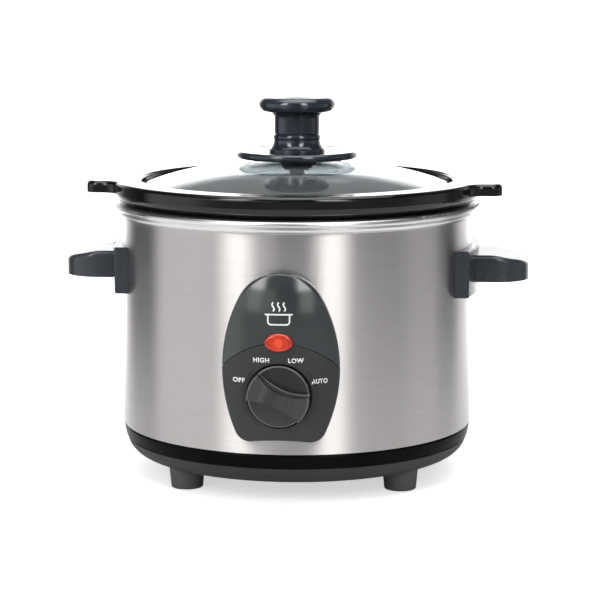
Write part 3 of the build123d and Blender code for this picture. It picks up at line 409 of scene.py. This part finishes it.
def lens_red():
    """Red-orange moulded lens with a lighter round middle; the lighter middle and the faint glow of the
    whole lens are painted light.
    """
    # The faint emission makes the whole lens glow from its own colour: painted glow
    made, g, shader = material("lens_red", IOR=1.49, Transmission_Weight=0.25, Coat_Weight=0.8,
                               Coat_Roughness=0.04, Emission_Strength=0.12)
    parts = g.add("ShaderNodeSeparateXYZ")
    g.link(coordinates(g), parts.inputs[0])
    x = g.math("SUBTRACT", parts.outputs[0], LENS.x)
    z = g.math("SUBTRACT", parts.outputs[2], LENS.z)
    away = g.distance(x, z)
    # Painted glow: the round middle is lighter, and through the emission it also shines brighter
    middle = g.smooth(away, 0.0012, 0.0034, 1.0, 0.0)
    edge = g.smooth(away, 0.0040, 0.0072)
    facets = g.noise(coordinates(g), 900.0, 1.0)
    red = g.ramp(facets, [(0.35, (0.62, 0.035, 0.012)), (0.65, (0.78, 0.065, 0.02))])
    rim = g.mix(edge, red, (0.38, 0.02, 0.012, 1))
    colour = g.mix(middle, rim, (0.95, 0.11, 0.045, 1))
    g.link(colour, shader.inputs["Base Color"])
    g.link(colour, shader.inputs["Emission Color"])
    g.link(g.math("MULTIPLY_ADD", facets, 0.06, 0.10), shader.inputs["Roughness"])
    return made


def plated(name, colour, roughness):
    """Small plated or mill-finish metal parts."""
    made, g, shader = material(name, Metallic=1.0)
    cloud = g.noise(coordinates(g), 420.0, 4.0, 0.6)
    dark = tuple(c * 0.82 for c in colour)
    g.link(g.ramp(cloud, [(0.3, dark), (0.7, colour)]), shader.inputs["Base Color"])
    g.link(g.math("MULTIPLY_ADD", cloud, 0.16, roughness - 0.08), shader.inputs["Roughness"])
    g.link(g.bump(cloud, 0.00006, 0.4), shader.inputs["Normal"])
    return made


def matte(name, colour, grain, depth, roughness=0.7):
    """Rough solids: rubber, mica, wool, sleeving, silicone."""
    made, g, shader = material(name)
    cloud = g.noise(coordinates(g), grain, 4.0, 0.65)
    dark = tuple(c * 0.75 for c in colour)
    g.link(g.ramp(cloud, [(0.3, dark), (0.7, colour)]), shader.inputs["Base Color"])
    g.link(g.math("MULTIPLY_ADD", cloud, 0.15, roughness - 0.08), shader.inputs["Roughness"])
    g.link(g.bump(cloud, depth, 0.6), shader.inputs["Normal"])
    return made


BAND_ABOVE_BASE = 8.8 * MM


def base_plastic():
    """Base moulding: a polished band above the step, a satin bowl below it."""
    made, g, shader = material("base_plastic", IOR=1.5)
    where = coordinates(g)
    parts = g.add("ShaderNodeSeparateXYZ")
    g.link(where, parts.inputs[0])
    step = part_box("base")[0].z + BAND_ABOVE_BASE
    satin = g.smooth(parts.outputs[2], step - 0.0004, step + 0.0004, 1.0, 0.0)
    skin = g.noise(where, 2600.0, 3.0, 0.6)
    cloud = g.noise(where, 40.0, 3.0)
    black = g.ramp(cloud, [(0.3, (0.002, 0.002, 0.0024)), (0.7, (0.004, 0.004, 0.0045))])
    grey = g.ramp(cloud, [(0.3, (0.016, 0.016, 0.014)), (0.7, (0.023, 0.023, 0.020))])
    g.link(g.mix(satin, black, grey), shader.inputs["Base Color"])
    rough = g.math("MULTIPLY_ADD", satin, 0.26, 0.16)
    g.link(g.math("MULTIPLY_ADD", cloud, 0.08, rough), shader.inputs["Roughness"])
    # The band reflects far less than the bowl
    g.link(g.math("MULTIPLY_ADD", satin, 0.50, 0.05), shader.inputs["Specular IOR Level"])
    g.link(g.bump(g.math("MULTIPLY", skin, satin), 0.00008, 0.6, 0.0003), shader.inputs["Normal"])
    return made


BAR_TILT = radians(22.5)
RIB_PITCH = 0.0011


def dial_plastic():
    """Glossy dial, with fine ribs for the fingers across the middle of its grip bar."""
    made, g, shader = material("dial_plastic", IOR=1.5, Coat_Weight=0.4, Coat_Roughness=0.08)
    where = coordinates(g)
    parts = g.add("ShaderNodeSeparateXYZ")
    g.link(where, parts.inputs[0])
    x = g.math("SUBTRACT", parts.outputs[0], DIAL.x)
    z = g.math("SUBTRACT", parts.outputs[2], DIAL.z)
    # Distance along the bar, whose right end lies below level at OFF
    along = g.math("SUBTRACT", g.math("MULTIPLY", x, cos(BAR_TILT)), g.math("MULTIPLY", z, sin(BAR_TILT)))
    reach = g.smooth(g.math("ABSOLUTE", along), 0.0065, 0.0085, 1.0, 0.0)
    front = g.smooth(parts.outputs[1], dial_low.y + 0.0070, dial_low.y + 0.0085, 1.0, 0.0)
    ribs = g.math("SINE", g.math("MULTIPLY", along, 2 * pi / RIB_PITCH))
    ribs = g.math("MULTIPLY", ribs, g.math("MULTIPLY", reach, front))
    skin = g.noise(where, 2200.0, 3.0, 0.6)
    cloud = g.noise(where, 38.0, 3.0)
    # A painted highlight: a paler ring runs round the disc's edge, standing in for light caught on the
    # rounded edge
    away = g.distance(x, z)
    painted_rim_highlight = g.math("MULTIPLY", g.smooth(away, 0.0153, 0.0156), g.smooth(away, 0.0160, 0.0162, 1.0, 0.0))
    black = g.ramp(cloud, [(0.3, (0.018, 0.019, 0.020)), (0.7, (0.025, 0.026, 0.027))])
    g.link(g.mix(painted_rim_highlight, black, (0.095, 0.10, 0.105, 1)), shader.inputs["Base Color"])
    g.link(g.math("MULTIPLY_ADD", cloud, 0.08, 0.18), shader.inputs["Roughness"])
    height = g.math("MULTIPLY_ADD", ribs, 0.5, g.math("MULTIPLY", skin, 0.04))
    g.link(g.bump(height, 0.00045, 0.8, 0.0007), shader.inputs["Normal"])
    return made


finishes = {
    "brushed_shell": brushed("brushed_shell", (0.67, 0.65, 0.64), 0.33, 5200.0, 0.97, 0.00002),
    "liner_steel": brushed("liner_steel", (0.90, 0.90, 0.90), 0.30, 2600.0, 0.35, 0.00001),
    "base_plastic": base_plastic(),
    "zinc": plated("zinc", (0.62, 0.62, 0.63), 0.35),
    "aluminium_sheet": plated("aluminium_sheet", (0.80, 0.80, 0.81), 0.32),
    "mica": matte("mica", (0.52, 0.45, 0.34), 260.0, 0.0001),
    "glass_wool": matte("glass_wool", (0.86, 0.83, 0.74), 520.0, 0.0008, 0.9),
    "foot_rubber": matte("foot_rubber", (0.088, 0.088, 0.088), 1300.0, 0.00012, 0.62),
    "handle_plastic": moulded("handle_plastic", (0.034, 0.041, 0.050), 0.27, 2400.0, 0.00003, 0.15, 0.2),
    "hood_gloss": moulded("hood_gloss", (0.044, 0.050, 0.052), 0.16, 2200.0, 0.00001, 0.5, 0.08),
    "fascia_satin": moulded("fascia_satin", (0.027, 0.028, 0.029), 0.42, 2800.0, 0.00006),
    "lens_red": lens_red(),
    "white_plastic": moulded("white_plastic", (0.80, 0.80, 0.77), 0.4, 1500.0, 0.00003),
    "clear_glass": clear_glass(),
    "ceramic_body": matte("ceramic_body", (0.66, 0.55, 0.40), 900.0, 0.00004, 0.5),
    "switch_plastic": moulded("switch_plastic", (0.08, 0.08, 0.08), 0.42, 2000.0, 0.00004),
    "gland_plastic": moulded("gland_plastic", (0.028, 0.028, 0.028), 0.40, 2400.0, 0.00005),
    "wire_sleeve": matte("wire_sleeve", (0.80, 0.77, 0.66), 2600.0, 0.0002, 0.8),
    "crock_glaze": glaze(),
    "knob_plastic": moulded("knob_plastic", (0.022, 0.030, 0.043), 0.12, 1800.0, 0.00001, 0.5, 0.05),
    "silicone": matte("silicone", (0.74, 0.74, 0.71), 1100.0, 0.00004, 0.5),
    "dial_plastic": dial_plastic(),
}

for part in frame["record"]["subparts"]:
    mesh = nodes[part["node"]].data
    mesh.materials.clear()
    mesh.materials.append(finishes[part["material_slot"]])


# ---------------------------------------------------------------- printed legends and pictogram

def printed_ink():
    """White screen-printing ink."""
    made, g, shader = material("printed_ink", IOR=1.5)
    cloud = g.noise(coordinates(g), 1600.0, 3.0)
    g.link(g.ramp(cloud, [(0.3, 0.82), (0.7, 0.94)]), shader.inputs["Base Color"])
    g.link(g.math("MULTIPLY_ADD", cloud, 0.12, 0.34), shader.inputs["Roughness"])
    return made


INK = printed_ink()
INK_THICKNESS = 0.06 * MM


def print_on(mesh, name, node):
    """Presses a flat outline (drawn in x and z) onto the front of a CAD node as a thin film."""
    surface = nodes[node]
    bm = bmesh.new()
    bm.from_mesh(mesh)
    bmesh.ops.subdivide_edges(bm, edges=bm.edges, cuts=1)
    bmesh.ops.triangulate(bm, faces=bm.faces)
    for vertex in bm.verts:
        start = Vector((vertex.co.x, cad_low.y - 20 * MM, vertex.co.z))
        hit, place, normal, _ = surface.ray_cast(start, Vector((0, 1, 0)))
        vertex.co = place + normal * 0.5 * INK_THICKNESS if hit else start
    bmesh.ops.recalc_face_normals(bm, faces=bm.faces)
    pressed = bpy.data.meshes.new(name)
    bm.to_mesh(pressed)
    bm.free()
    piece = bpy.data.objects.new(name, pressed)
    bpy.context.scene.collection.objects.link(piece)
    pressed.materials.append(INK)
    thicken = piece.modifiers.new("film", "SOLIDIFY")
    thicken.thickness = INK_THICKNESS
    thicken.offset = 0.0
    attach(piece, "housing")
    return piece


def legend(text, x, z, width, height):
    """One word, centred at x and z, fitted to a width and a cap height."""
    data = bpy.data.curves.new("word", "FONT")
    data.body = text
    data.offset = 0.040
    data.space_character = 1.08
    data.resolution_u = 6
    holder = bpy.data.objects.new("word", data)
    bpy.context.scene.collection.objects.link(holder)
    flat = bpy.data.meshes.new_from_object(holder.evaluated_get(bpy.context.evaluated_depsgraph_get()))
    bpy.data.objects.remove(holder)
    xs = [v.co.x for v in flat.vertices]
    ys = [v.co.y for v in flat.vertices]
    middle = Vector(((max(xs) + min(xs)) / 2, (max(ys) + min(ys)) / 2))
    scale_x = width / (max(xs) - min(xs))
    scale_z = height / (max(ys) - min(ys))
    for vertex in flat.vertices:
        across, upright = vertex.co.x - middle.x, vertex.co.y - middle.y
        vertex.co = Vector((x + across * scale_x, 0, z + upright * scale_z))
    return print_on(flat, "legend_" + text.lower(), "panel_fascia")


LEGEND_H = 2.5 * MM
for word, dx, dz, wide in (("OFF", -21.2, 7.5, 6.8), ("HIGH", -9.1, 18.8, 8.5),
                           ("LOW", 8.9, 18.8, 8.1), ("AUTO", 20.8, 7.6, 8.0)):
    legend(word, DIAL.x + dx * MM, DIAL.z + dz * MM, wide * MM, LEGEND_H)


def stroke(points, width):
    """Flat ribbon along a list of points in x and z, cut short enough to follow a curved front."""
    cuts = 8
    bm = bmesh.new()
    pairs = []
    points = [(a[0] + (b[0] - a[0]) * part / cuts, a[1] + (b[1] - a[1]) * part / cuts)
              for a, b in zip(points, points[1:]) for part in range(cuts)] + [points[-1]]
    for index, point in enumerate(points):
        before = points[max(index - 1, 0)]
        after = points[min(index + 1, len(points) - 1)]
        along = Vector((after[0] - before[0], after[1] - before[1])).normalized()
        side = Vector((-along.y, along.x)) * width / 2
        pairs.append([bm.verts.new((point[0] + s * side.x, 0, point[1] + s * side.y)) for s in (-1, 1)])
    for (a, b), (c, d) in zip(pairs, pairs[1:]):
        bm.faces.new((a, b, d, c))
    made = bpy.data.meshes.new("stroke")
    bm.to_mesh(made)
    bm.free()
    return made


def pictogram():
    """Generic pot with a wide rim and three wisps of steam."""
    x0, z0 = LENS.x, LENS.z + 14.6 * MM
    line = 0.8 * MM
    corner = 1.6 * MM
    half, depth = 5.6 * MM, 5.2 * MM
    pot = [(x0 - half, z0)]
    for step in range(7):
        turn = radians(180 + 15 * step)
        pot.append((x0 - half + corner + corner * cos(turn), z0 - depth + corner + corner * sin(turn)))
    for step in range(7):
        turn = radians(270 + 15 * step)
        pot.append((x0 + half - corner + corner * cos(turn), z0 - depth + corner + corner * sin(turn)))
    pot.append((x0 + half, z0))
    strokes = {"pot": pot, "rim": [(x0 - half - 1.6 * MM, z0), (x0 + half + 1.6 * MM, z0)]}
    for number, shift in enumerate((-2.9 * MM, 0, 2.9 * MM)):
        wisp = []
        for step in range(13):
            rise = step / 12
            wisp.append((x0 + shift + 0.55 * MM * sin(2 * pi * rise), z0 + 1.7 * MM + 4.6 * MM * rise))
        strokes[f"steam_{number + 1}"] = wisp
    for name, points in strokes.items():
        print_on(stroke(points, line), "pictogram_" + name, "panel_hood")


pictogram()
